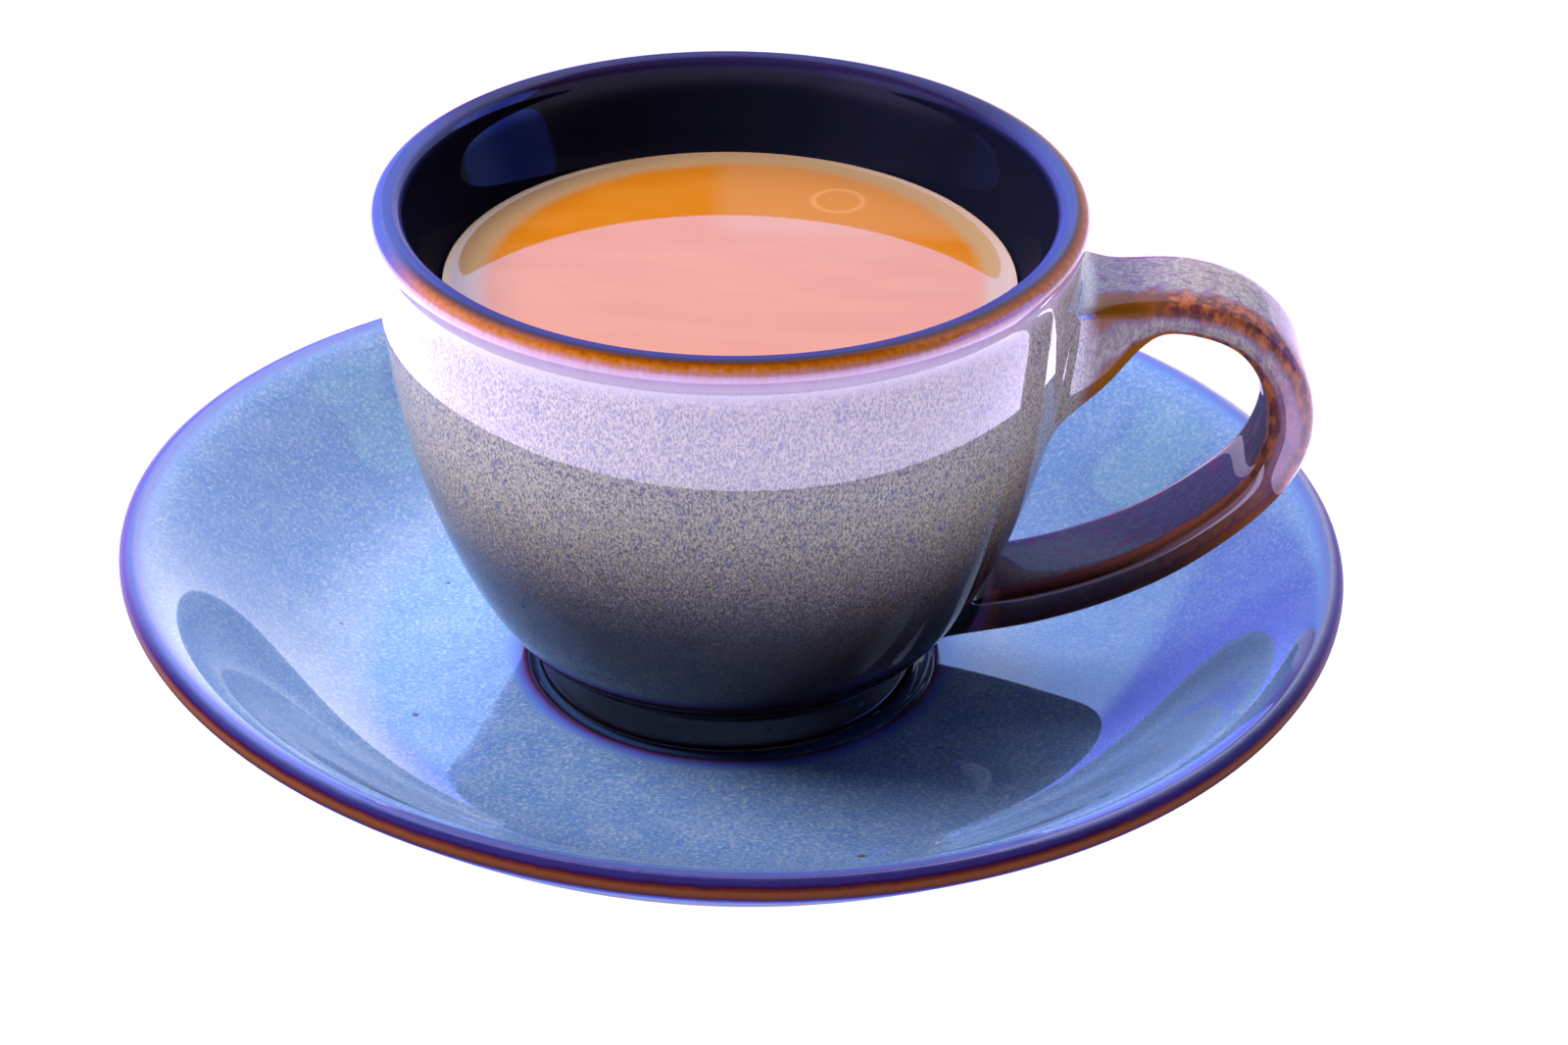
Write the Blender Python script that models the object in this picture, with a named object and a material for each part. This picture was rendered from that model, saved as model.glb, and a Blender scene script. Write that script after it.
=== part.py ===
"""A cup of milky tea on its saucer, in thick glazed stoneware.

Units are metres, with +Z up. The origin is the middle of the saucer's foot ring, on the
table, and the cup's handle points along +X. Sizes below are radii and heights above the
table unless they say otherwise.
"""
import math

import bmesh
import bpy
from mathutils import Vector

MM = 0.001
GAP = 0.3 * MM
TURN_STEPS = 72
SAME_POINT = 0.01 * MM
MERGE_DISTANCE = 0.001 * MM
SHARP_EDGE = math.radians(35)

SAUCER_RADIUS = 80.0 * MM
SAUCER_HEIGHT = 22.5 * MM
SAUCER_LIP = 1.7 * MM
FLAT_RADIUS = 42.3 * MM
FLAT_HEIGHT = 4.8 * MM
FLAT_PULL = 6.0 * MM
FLANK_PULL = 8.4 * MM
FLANK_TURN = (66.0 * MM, 14.1 * MM)
FLANK_TURN_TILT = math.radians(39.1)
FLANK_TURN_PULL_IN = 12.1 * MM
FLANK_TURN_PULL_OUT = 7.4 * MM
FLANK_END_TILT = math.radians(14)
FLANK_END_PULL = 3.6 * MM
UNDERSIDE_TILT = math.radians(38)
UNDERSIDE_PULL_OUT = 19.0 * MM
UNDERSIDE_PULL_IN = 14.0 * MM
UNDERSIDE_RISE = 0.4 * MM
FOOT_RING_FILLET = 1.2 * MM
FOOT_RING_CHAMFER = 0.7 * MM
FOOT_RING_OUTER = 43.0 * MM
FOOT_RING_INNER = 38.5 * MM
FOOT_RING_DEPTH = 1.3 * MM
WELL_RADIUS = 26.6 * MM
WELL_FLOOR = 4.3 * MM
WELL_STEP = 0.9 * MM
WELL_EDGE = 1.1 * MM
RIM_TILT = 1.52 * MM
RIM_TILT_TURN = math.radians(199)
RIM_SADDLE = 1.07 * MM
RIM_SADDLE_TURN = math.radians(12)
RIM_WARP_GROWTH = 1.55

CUP_SHIFT = -0.6 * MM
CUP_FOOT = WELL_FLOOR + GAP
CUP_FOOT_RADIUS = 25.4 * MM
CUP_FOOT_INNER = 20.5 * MM
CUP_FOOT_RECESS = 2.2 * MM
CUP_FOOT_CHAMFER = 0.7 * MM
CREASE_DEPTH = 1.3 * MM
CREASE_RADIUS = 24.4 * MM
CREASE_HEIGHT = 9.6 * MM
CREASE_PULL = (8.5 * MM, 2.3 * MM)
SHOULDER_RADIUS = 44.7 * MM
SHOULDER_HEIGHT = 67.5 * MM
SHOULDER_PULL = (0.6 * MM, -28.2 * MM)
LIP_RADIUS = 45.6 * MM
LIP_EDGE_HEIGHT = 70.3 * MM
LIP_EDGE_PULL = 1.0 * MM
CREST_RADIUS = 43.3 * MM
CUP_HEIGHT = 72.0 * MM
CREST_PULL = 1.9 * MM
MOUTH_RADIUS = 41.0 * MM
MOUTH_HEIGHT = 69.0 * MM
MOUTH_PULL_UP = (0.55 * MM, 2.0 * MM)
MOUTH_PULL_DOWN = (-1.5 * MM, -4.2 * MM)
THROAT_RADIUS = 36.2 * MM
THROAT_HEIGHT = 57.5 * MM
THROAT_PULL_UP = (0.6 * MM, 4.5 * MM)
THROAT_PULL_DOWN = (-2.4 * MM, -21.0 * MM)
BOWL_FLOOR = 13.0 * MM
BOWL_FLOOR_PULL = 27.0 * MM

TEA_LEVEL = 60.0 * MM
MENISCUS_RISE = 0.6 * MM
MENISCUS_WIDTH = 3.0 * MM
MENISCUS_PULL = 1.5 * MM
MENISCUS_STEEPNESS = 0.6 * MM
MENISCUS_PULL_RISE = 0.2 * MM

STRAP_WIDTH = 15.0 * MM
STRAP_INSIDE = 2.4 * MM
STRAP_OUTSIDE = 2.7 * MM
STRAP_SQUARENESS = 3.6
STRAP_SIDES = 18
STRAP_STATIONS = 34
PATH_STEP = 0.002
BEND_THICKENING = 1.5 * MM
BEND_PLACE = 0.43
BEND_LENGTH = 0.19
WEB_DEPTH = 11.0 * MM
WEB_LENGTH = 10.0 * MM
SIDE_FILLET = 1.6 * MM
SIDE_FILLET_LENGTH = 7.0 * MM
LOWER_FILLET = 1.2 * MM
LOWER_THICKENING = 1.0 * MM
LOWER_THICKENING_LENGTH = 38.0 * MM
LOWER_FILLET_LENGTH = 9.0 * MM
HANDLE_PATH_MM = (
    (41.0, 58.2),
    (49.6, 58.5),
    (58.1, 58.8),
    (66.0, 56.0),
    (71.2, 49.8),
    (72.5, 42.8),
    (70.2, 36.2),
    (65.0, 30.0),
    (56.2, 23.1),
    (46.2, 18.2),
    (36.1, 15.2),
    (26.6, 13.4),
)


def clear_scene():
    for thing in list(bpy.data.objects):
        bpy.data.objects.remove(thing, do_unlink=True)


def glaze(name, colour, roughness):
    material = bpy.data.materials.new(name)
    material.use_nodes = True
    shader = material.node_tree.nodes["Principled BSDF"]
    shader.inputs["Base Color"].default_value = (*colour, 1.0)
    shader.inputs["Roughness"].default_value = roughness
    shader.inputs["Metallic"].default_value = 0.0
    return material


def bezier(start, pull_start, pull_end, end, steps):
    """Points of one cubic curve in the radius and height plane, both ends included."""
    points = []
    for index in range(steps + 1):
        t = index / steps
        u = 1.0 - t
        weights = (u * u * u, 3 * u * u * t, 3 * u * t * t, t * t * t)
        corners = (start, pull_start, pull_end, end)
        radius = sum(w * corner[0] for w, corner in zip(weights, corners))
        height = sum(w * corner[1] for w, corner in zip(weights, corners))
        points.append((radius, height))
    return points


def shifted(point, step):
    return (point[0] + step[0], point[1] + step[1])


def arc(centre, radius, start_angle, end_angle, steps):
    """Points on a round, with angles in radians from the outward direction."""
    points = []
    for index in range(steps + 1):
        angle = start_angle + (end_angle - start_angle) * index / steps
        points.append((centre[0] + radius * math.cos(angle), centre[1] + radius * math.sin(angle)))
    return points


def joined(*runs):
    """One outline from several runs, each starting where the last one ended."""
    outline = []
    for run in runs:
        for point in run:
            if not outline or math.dist(point, outline[-1]) > SAME_POINT:
                outline.append(point)
    return outline


def inset(outline, distance):
    """The outline moved to its left-hand side, seen along its own direction."""
    moved = []
    for index, point in enumerate(outline):
        before = outline[max(index - 1, 0)]
        after = outline[min(index + 1, len(outline) - 1)]
        along = Vector((after[0] - before[0], after[1] - before[1])).normalized()
        moved.append((point[0] - along.y * distance, point[1] + along.x * distance))
    return moved


def turned(name, outline, material):
    """A solid of revolution about +Z from an outline that starts and ends on the axis."""
    mesh = bmesh.new()
    corners = [mesh.verts.new((radius, 0.0, height)) for radius, height in outline]
    edges = [mesh.edges.new(pair) for pair in zip(corners, corners[1:])]
    bmesh.ops.spin(
        mesh,
        geom=corners + edges,
        cent=(0.0, 0.0, 0.0),
        axis=(0.0, 0.0, 1.0),
        angle=math.tau,
        steps=TURN_STEPS,
        use_merge=True,
    )
    bmesh.ops.remove_doubles(mesh, verts=mesh.verts, dist=MERGE_DISTANCE)
    bmesh.ops.recalc_face_normals(mesh, faces=mesh.faces)
    return finished(name, mesh, material)


def finished(name, mesh, material):
    data = bpy.data.meshes.new(name)
    mesh.to_mesh(data)
    mesh.free()
    data.materials.append(material)
    data.shade_smooth()
    data.set_sharp_from_angle(angle=SHARP_EDGE)
    piece = bpy.data.objects.new(name, data)
    bpy.context.scene.collection.objects.link(piece)
    return piece


def pulled(point, distance, tilt):
    """A point moved outward and up along a slope, or inward and down for a minus distance."""
    return (point[0] + distance * math.cos(tilt), point[1] + distance * math.sin(tilt))


def saucer_top():
    """From the middle of the well, over its step and the flat, and up the flank."""
    step_top = WELL_FLOOR + WELL_STEP
    lip_centre = (SAUCER_RADIUS - SAUCER_LIP, SAUCER_HEIGHT - SAUCER_LIP)
    flank_end = pulled(lip_centre, SAUCER_LIP, FLANK_END_TILT + math.pi / 2)
    step = bezier(
        (WELL_RADIUS - WELL_EDGE, WELL_FLOOR),
        (WELL_RADIUS, WELL_FLOOR),
        (WELL_RADIUS, step_top),
        (WELL_RADIUS + WELL_EDGE, step_top),
        3,
    )
    flat = bezier(
        (WELL_RADIUS + WELL_EDGE, step_top),
        (WELL_RADIUS + WELL_EDGE + FLAT_PULL, step_top),
        (FLAT_RADIUS - FLAT_PULL, FLAT_HEIGHT),
        (FLAT_RADIUS, FLAT_HEIGHT),
        2,
    )
    rise = bezier(
        (FLAT_RADIUS, FLAT_HEIGHT),
        (FLAT_RADIUS + FLANK_PULL, FLAT_HEIGHT),
        pulled(FLANK_TURN, -FLANK_TURN_PULL_IN, FLANK_TURN_TILT),
        FLANK_TURN,
        5,
    )
    flare = bezier(
        FLANK_TURN,
        pulled(FLANK_TURN, FLANK_TURN_PULL_OUT, FLANK_TURN_TILT),
        pulled(flank_end, -FLANK_END_PULL, FLANK_END_TILT),
        flank_end,
        4,
    )
    lip_turn = FLANK_END_TILT + math.pi / 2
    lip = arc(lip_centre, SAUCER_LIP, lip_turn, UNDERSIDE_TILT - math.pi / 2, 6)
    return joined([(0.0, WELL_FLOOR)], step, flat, rise, flare, lip)


def saucer_outline():
    """The top, and back under the flank and the foot ring to the axis."""
    top = saucer_top()
    ring_shoulder = (FOOT_RING_OUTER + FOOT_RING_FILLET, FOOT_RING_DEPTH + FOOT_RING_CHAMFER)
    underside = bezier(
        top[-1],
        pulled(top[-1], -UNDERSIDE_PULL_OUT, UNDERSIDE_TILT),
        (ring_shoulder[0] + UNDERSIDE_PULL_IN, ring_shoulder[1] + UNDERSIDE_RISE),
        ring_shoulder,
        7,
    )
    ring = [
        (FOOT_RING_OUTER, FOOT_RING_CHAMFER),
        (FOOT_RING_OUTER - FOOT_RING_CHAMFER, 0.0),
        (FOOT_RING_INNER + FOOT_RING_CHAMFER, 0.0),
        (FOOT_RING_INNER, FOOT_RING_CHAMFER),
        (FOOT_RING_INNER - FOOT_RING_CHAMFER, FOOT_RING_DEPTH),
        (0.0, FOOT_RING_DEPTH),
    ]
    return joined(top, underside, ring)


def warped_flank(piece):
    """Tilts the rim and bends it into a slight saddle, as firing does."""
    for corner in piece.data.vertices:
        radius = math.hypot(corner.co.x, corner.co.y)
        share = (radius - FOOT_RING_OUTER) / (SAUCER_RADIUS - FOOT_RING_OUTER)
        if share > 0.0:
            turn = math.atan2(corner.co.y, corner.co.x)
            lift = RIM_TILT * math.cos(turn - RIM_TILT_TURN)
            lift += RIM_SADDLE * math.cos(2 * (turn - RIM_SADDLE_TURN))
            corner.co.z += lift * share**RIM_WARP_GROWTH


def make_saucer():
    material = glaze("saucer_glaze", (0.36, 0.47, 0.74), 0.16)
    saucer = turned("saucer", saucer_outline(), material)
    warped_flank(saucer)
    return saucer


def cup_inside():
    """The inner wall, from the mouth down to the middle of the bowl's floor."""
    throat = bezier(
        (MOUTH_RADIUS, MOUTH_HEIGHT),
        shifted((MOUTH_RADIUS, MOUTH_HEIGHT), MOUTH_PULL_DOWN),
        shifted((THROAT_RADIUS, THROAT_HEIGHT), THROAT_PULL_UP),
        (THROAT_RADIUS, THROAT_HEIGHT),
        4,
    )
    bowl = bezier(
        (THROAT_RADIUS, THROAT_HEIGHT),
        shifted((THROAT_RADIUS, THROAT_HEIGHT), THROAT_PULL_DOWN),
        (BOWL_FLOOR_PULL, BOWL_FLOOR),
        (0.0, BOWL_FLOOR),
        9,
    )
    return joined(throat, bowl)


def cup_outline():
    """From under the foot, up the outside, over the lip and down the inside."""
    foot = [
        (0.0, CUP_FOOT + CUP_FOOT_RECESS),
        (CUP_FOOT_INNER - 2 * CUP_FOOT_CHAMFER, CUP_FOOT + CUP_FOOT_RECESS),
        (CUP_FOOT_INNER, CUP_FOOT + CUP_FOOT_CHAMFER),
        (CUP_FOOT_INNER + CUP_FOOT_CHAMFER, CUP_FOOT),
        (CUP_FOOT_RADIUS - CUP_FOOT_CHAMFER, CUP_FOOT),
        (CUP_FOOT_RADIUS, CUP_FOOT + CUP_FOOT_CHAMFER),
        (CREASE_RADIUS, CREASE_HEIGHT - CREASE_DEPTH),
    ]
    bowl = bezier(
        (CREASE_RADIUS, CREASE_HEIGHT),
        shifted((CREASE_RADIUS, CREASE_HEIGHT), CREASE_PULL),
        shifted((SHOULDER_RADIUS, SHOULDER_HEIGHT), SHOULDER_PULL),
        (SHOULDER_RADIUS, SHOULDER_HEIGHT),
        11,
    )
    edge = bezier(
        (SHOULDER_RADIUS, SHOULDER_HEIGHT),
        (SHOULDER_RADIUS, SHOULDER_HEIGHT + LIP_EDGE_PULL),
        (LIP_RADIUS, LIP_EDGE_HEIGHT - LIP_EDGE_PULL),
        (LIP_RADIUS, LIP_EDGE_HEIGHT),
        2,
    )
    rounding = bezier(
        (LIP_RADIUS, LIP_EDGE_HEIGHT),
        (LIP_RADIUS, LIP_EDGE_HEIGHT + LIP_EDGE_PULL),
        (CREST_RADIUS + LIP_EDGE_PULL, CUP_HEIGHT),
        (CREST_RADIUS, CUP_HEIGHT),
        3,
    )
    mouth = bezier(
        (CREST_RADIUS, CUP_HEIGHT),
        (CREST_RADIUS - CREST_PULL, CUP_HEIGHT),
        shifted((MOUTH_RADIUS, MOUTH_HEIGHT), MOUTH_PULL_UP),
        (MOUTH_RADIUS, MOUTH_HEIGHT),
        3,
    )
    return joined(foot, bowl, edge, rounding, mouth, cup_inside())


def path_point(position):
    """A point on the handle's middle line, a smooth curve through the path's points."""
    points = HANDLE_PATH_MM
    last = len(points) - 1
    index = min(int(position * last), last - 1)
    t = position * last - index
    before = points[max(index - 1, 0)]
    start = points[index]
    end = points[index + 1]
    after = points[min(index + 2, last)]
    place = []
    for axis in (0, 1):
        slope_start = (end[axis] - before[axis]) / 2
        slope_end = (after[axis] - start[axis]) / 2
        cubic = (
            (2 * t**3 - 3 * t**2 + 1) * start[axis]
            + (t**3 - 2 * t**2 + t) * slope_start
            + (3 * t**2 - 2 * t**3) * end[axis]
            + (t**3 - t**2) * slope_end
        )
        place.append(cubic * MM)
    return Vector((place[0], 0.0, place[1]))


def cup_wall_radius(height):
    """The cup's outer radius at a height, read from its outline."""
    outside = [point for point in cup_outline() if point[0] >= CREASE_RADIUS]
    for low, high in zip(outside, outside[1:]):
        if low[1] <= height <= high[1]:
            share = (height - low[1]) / max(high[1] - low[1], 0.001 * MM)
            return low[0] + (high[0] - low[0]) * share
    return SHOULDER_RADIUS


def fillet(amount, length, distance):
    """How much a fillet adds at a distance from the cup's wall."""
    share = min(max(1.0 - distance / length, 0.0), 1.0)
    return amount * share * share


def swell(amount, length, distance):
    """A rounded thickening, full at its middle and gone at a length from it."""
    share = min(max(1.0 - distance / length, 0.0), 1.0)
    return amount * share * share * (3.0 - 2.0 * share)


def strap_section(position):
    """One closed ring of points round the strap."""
    centre = path_point(position)
    ahead = path_point(min(position + PATH_STEP, 1.0)) - path_point(max(position - PATH_STEP, 0.0))
    along = ahead.normalized()
    outward = Vector((-along.z, 0.0, along.x))
    distance = max(centre.x - cup_wall_radius(centre.z), 0.0)
    upper = position < 0.5
    half_width = STRAP_WIDTH / 2 + fillet(SIDE_FILLET, SIDE_FILLET_LENGTH, distance)
    inside = STRAP_INSIDE + swell(BEND_THICKENING, BEND_LENGTH, abs(position - BEND_PLACE))
    outside = STRAP_OUTSIDE
    if upper:
        inside += swell(WEB_DEPTH, WEB_LENGTH, distance)
    else:
        inside += swell(LOWER_THICKENING, LOWER_THICKENING_LENGTH, distance)
        outside += fillet(LOWER_FILLET, LOWER_FILLET_LENGTH, distance)
    power = 2.0 / STRAP_SQUARENESS
    ring = []
    for side in range(STRAP_SIDES):
        angle = math.tau * side / STRAP_SIDES
        across = math.copysign(abs(math.cos(angle)) ** power, math.cos(angle)) * half_width
        deep = math.copysign(abs(math.sin(angle)) ** power, math.sin(angle))
        deep *= outside if deep > 0 else inside
        ring.append(centre + Vector((0.0, across, 0.0)) + outward * deep)
    return ring


def make_handle_shape(material):
    """The strap, reaching into the cup's wall at both ends."""
    mesh = bmesh.new()
    rings = []
    for station in range(STRAP_STATIONS + 1):
        ring = strap_section(station / STRAP_STATIONS)
        rings.append([mesh.verts.new(point) for point in ring])
    for first, second in zip(rings, rings[1:]):
        for side in range(STRAP_SIDES):
            after = (side + 1) % STRAP_SIDES
            mesh.faces.new((first[side], first[after], second[after], second[side]))
    mesh.faces.new(rings[0])
    mesh.faces.new(rings[-1])
    bmesh.ops.recalc_face_normals(mesh, faces=mesh.faces)
    shape = finished("handle_shape", mesh, material)
    shape.hide_render = True
    shape.display_type = "WIRE"
    return shape


def make_cup(holder):
    material = glaze("cup_glaze", (0.30, 0.26, 0.30), 0.16)
    cup = turned("cup", cup_outline(), material)
    handle_shape = make_handle_shape(material)
    union = cup.modifiers.new("handle", "BOOLEAN")
    union.operation = "UNION"
    union.solver = "EXACT"
    union.object = handle_shape
    cup.parent = holder
    handle_shape.parent = holder
    return cup


def make_tea(holder):
    """The drink, up to its level, with its edge drawn up a little at the wall."""
    wall = inset(cup_inside(), -GAP)
    edge_height = TEA_LEVEL + MENISCUS_RISE
    for high, low in zip(wall, wall[1:]):
        if low[1] <= edge_height <= high[1]:
            share = (edge_height - low[1]) / (high[1] - low[1])
            edge = (low[0] + (high[0] - low[0]) * share, edge_height)
    below = [point for point in wall[:-1] if point[1] < edge_height - MENISCUS_PULL_RISE]
    surface = bezier(
        (edge[0] - MENISCUS_WIDTH, TEA_LEVEL),
        (edge[0] - MENISCUS_PULL, TEA_LEVEL),
        (edge[0] - MENISCUS_STEEPNESS, TEA_LEVEL + MENISCUS_PULL_RISE),
        edge,
        3,
    )
    outline = joined([(0.0, TEA_LEVEL)], surface, below, [(0.0, BOWL_FLOOR + GAP)])
    tea = turned("tea", outline, glaze("milky_tea", (0.80, 0.45, 0.20), 0.08))
    tea.parent = holder
    return tea


def main():
    clear_scene()
    make_saucer()
    holder = bpy.data.objects.new("cup_place", None)
    holder.location = (CUP_SHIFT, 0.0, 0.0)
    bpy.context.scene.collection.objects.link(holder)
    make_cup(holder)
    make_tea(holder)


main()
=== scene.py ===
"""A thick stoneware cup of milky tea on its saucer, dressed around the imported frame.

Units are metres in the frame's own axes: +Z up, the table at zero, the cup's handle along
+X. Sizes are radii and heights above the table unless they say otherwise.
"""
import math

import bmesh
import bpy
from mathutils import Matrix, Vector

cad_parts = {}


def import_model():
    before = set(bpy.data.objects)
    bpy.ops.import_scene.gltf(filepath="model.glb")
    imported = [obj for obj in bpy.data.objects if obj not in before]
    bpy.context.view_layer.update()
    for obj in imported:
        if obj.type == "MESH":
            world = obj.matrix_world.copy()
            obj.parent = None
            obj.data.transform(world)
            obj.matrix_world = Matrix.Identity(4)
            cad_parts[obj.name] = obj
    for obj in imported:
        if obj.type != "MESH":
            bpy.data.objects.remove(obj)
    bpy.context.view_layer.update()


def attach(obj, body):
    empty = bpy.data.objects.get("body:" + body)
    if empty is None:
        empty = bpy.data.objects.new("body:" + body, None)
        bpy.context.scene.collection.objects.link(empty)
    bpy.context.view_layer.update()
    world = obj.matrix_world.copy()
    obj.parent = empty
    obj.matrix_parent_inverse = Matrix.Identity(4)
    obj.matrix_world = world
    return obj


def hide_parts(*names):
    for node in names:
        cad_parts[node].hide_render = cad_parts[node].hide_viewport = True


MM = 0.001
GAP = 0.3 * MM
SAME_POINT = 0.01 * MM

SAUCER_RADIUS = 80.0 * MM
SAUCER_HEIGHT = 22.5 * MM
SAUCER_LIP = 1.7 * MM
SAUCER_LIP_ROWS = 8
SAUCER_STEPS = 96
SAUCER_LEVELS = 1
WELL_RADIUS = 26.6 * MM
WELL_FLOOR = 4.3 * MM
WELL_STEP = 0.9 * MM
WELL_EDGE = 1.1 * MM
WELL_ROWS_MM = (0.0, 12.0, 20.0, 24.0)
WELL_STEP_ROWS = 5
FLAT_RADIUS = 42.3 * MM
FLAT_HEIGHT = 4.8 * MM
FLAT_PULL = 6.0 * MM
FLAT_ROWS = 6
FLANK_PULL = 8.4 * MM
FLANK_TURN = (66.0 * MM, 14.1 * MM)
FLANK_TURN_TILT = math.radians(39.1)
FLANK_TURN_PULL_IN = 12.1 * MM
FLANK_TURN_PULL_OUT = 7.4 * MM
FLANK_RISE_ROWS = 14
FLANK_END_TILT = math.radians(14)
FLANK_END_PULL = 3.6 * MM
FLANK_FLARE_ROWS = 9
UNDERSIDE_TILT = math.radians(38)
UNDERSIDE_PULL_OUT = 19.0 * MM
UNDERSIDE_PULL_IN = 14.0 * MM
UNDERSIDE_RISE = 0.4 * MM
UNDERSIDE_ROWS = 12
UNDERSIDE_MIDDLE = 20.0 * MM
FOOT_RING_FILLET = 1.2 * MM
FOOT_RING_CHAMFER = 0.7 * MM
FOOT_RING_OUTER = 43.0 * MM
FOOT_RING_INNER = 38.5 * MM
FOOT_RING_DEPTH = 1.3 * MM
RIM_TILT = 1.52 * MM
RIM_TILT_TURN = math.radians(199)
RIM_SADDLE = 1.07 * MM
RIM_SADDLE_TURN = math.radians(12)
RIM_WARP_GROWTH = 1.55

CUP_SHIFT = -0.6 * MM
CUP_STEPS = 72
CUP_LEVELS = 2
CUP_FOOT = WELL_FLOOR + GAP
FOOT_MIDDLE = (0.0, CUP_FOOT)
FOOT_INSIDE = (20.5 * MM, CUP_FOOT)
FOOT_OUTSIDE = (25.4 * MM, CUP_FOOT)
CREASE = (24.4 * MM, 9.6 * MM)
SHOULDER = (44.7 * MM, 67.5 * MM)
LIP_EDGE = (45.6 * MM, 70.3 * MM)
CREST = (43.3 * MM, 72.0 * MM)
MOUTH = (41.0 * MM, 69.0 * MM)
THROAT = (36.2 * MM, 57.5 * MM)
BOWL_MIDDLE = (0.0, 13.0 * MM)
BOWL_ROWS = (
    0.0, 0.04, 0.1, 0.155, 0.2, 0.245, 0.29, 0.32, 0.37, 0.43, 0.5, 0.58, 0.66,
    0.725, 0.7875, 0.845, 0.892, 0.926, 0.938, 0.97, 1.0,
)
# The foot's corners: a point of the outline, and each corner's offset from it in millimetres.
CUP_FOOT_CORNERS = (
    (FOOT_MIDDLE, (0.0, 2.2)),
    (FOOT_MIDDLE, (12.0, 2.2)),
    (FOOT_INSIDE, (-1.5, 2.2)),
    (FOOT_INSIDE, (0.0, 0.7)),
    (FOOT_INSIDE, (0.3, 0.15)),
    (FOOT_INSIDE, (0.9, 0.0)),
    (FOOT_OUTSIDE, (-0.9, 0.0)),
    (FOOT_OUTSIDE, (-0.25, 0.2)),
    (FOOT_OUTSIDE, (0.0, 0.8)),
    (CREASE, (0.6, -2.6)),
    (CREASE, (0.1, -0.9)),
)
# The wall's curves: start, both handles' offsets from the ends in millimetres, end, and rows.
CUP_OUTSIDE_CURVES = (
    (CREASE, (8.5, 2.3), (0.6, -28.2), SHOULDER, BOWL_ROWS),
    (SHOULDER, (0.2, 1.0), (0.0, -1.0), LIP_EDGE, 3),
    (LIP_EDGE, (0.0, 1.1), (1.1, 0.0), CREST, 4),
    (CREST, (-1.9, 0.0), (0.55, 2.0), MOUTH, 5),
)
CUP_INSIDE_CURVES = (
    (MOUTH, (-1.5, -4.2), (0.6, 4.5), THROAT, 5),
    (THROAT, (-2.4, -21.0), (27.0, 0.0), BOWL_MIDDLE, 9),
)

TEA_LEVEL = 60.0 * MM
TEA_STEPS = 96
TEA_ROWS = 12
TEA_LEVELS = 1
MENISCUS_RISE = 0.6 * MM
MENISCUS_WIDTH = 3.0 * MM
MENISCUS_PULLS = (0.5, 0.2)
MENISCUS_BEND = 0.2 * MM
MENISCUS_ROWS = 6
MENISCUS_CLEARANCE = 0.4 * MM
SWIRL = (13.1 * MM, 23.3 * MM, 60.0 * MM)

STRAP_HALF_WIDTH = 7.5 * MM
STRAP_INSIDE = 2.4 * MM
STRAP_OUTSIDE = 2.7 * MM
STRAP_STATIONS = 24
STRAP_START = 0.07
STRAP_END = 0.9
STRAP_MIDDLE = 0.5
PATH_STEP = 0.002
BEND_THICKENING = 1.5 * MM
BEND_PLACE = 0.43
BEND_LENGTH = 0.19
WEB_DEPTH = 11.0 * MM
WEB_LENGTH = 10.0 * MM
SIDE_FILLET = 1.6 * MM
SIDE_FILLET_LENGTH = 7.0 * MM
LOWER_FILLET = 1.2 * MM
LOWER_FILLET_LENGTH = 9.0 * MM
LOWER_THICKENING = 1.0 * MM
LOWER_THICKENING_LENGTH = 38.0 * MM
ROOT_HALF_ANGLE = math.radians(15)
ROOT_SLACK = 0.1 * MM
UPPER_ROOT = (44.9 * MM, 61.3 * MM)
LOWER_ROOT = (11.0 * MM, 17.4 * MM)
HANDLE_PATH_MM = (
    (41.0, 58.2),
    (49.6, 58.5),
    (58.1, 58.8),
    (66.0, 56.0),
    (71.2, 49.8),
    (72.5, 42.8),
    (70.2, 36.2),
    (65.0, 30.0),
    (56.2, 23.1),
    (46.2, 18.2),
    (36.1, 15.2),
    (26.6, 13.4),
)
# The strap's section: across and outward, as shares of its half width and its two depths.
STRAP_SECTION = (
    (0.93, 0.86), (0.70, 0.98), (0.36, 1.0), (0.0, 1.0),
    (-0.36, 1.0), (-0.70, 0.98), (-0.93, 0.86),
    (-1.0, 0.45), (-1.02, 0.0), (-1.0, -0.45),
    (-0.93, -0.86), (-0.70, -0.98), (-0.36, -1.0), (0.0, -1.0),
    (0.36, -1.0), (0.70, -0.98), (0.93, -0.86),
    (1.0, -0.45), (1.02, 0.0), (1.0, 0.45),
)
# How strongly the glaze breaks at the section's corners, by their number.
STRAP_RIDGES = {0: 0.42, 5: 0.42, 6: 1.0, 7: 0.42, 10: 1.0, 16: 1.0}
STRAP_OUTER_SIDES = range(1, 6)
STRAP_HOLLOW_SIDES = range(11, 16)
STRAP_RUN = -40.0

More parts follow.
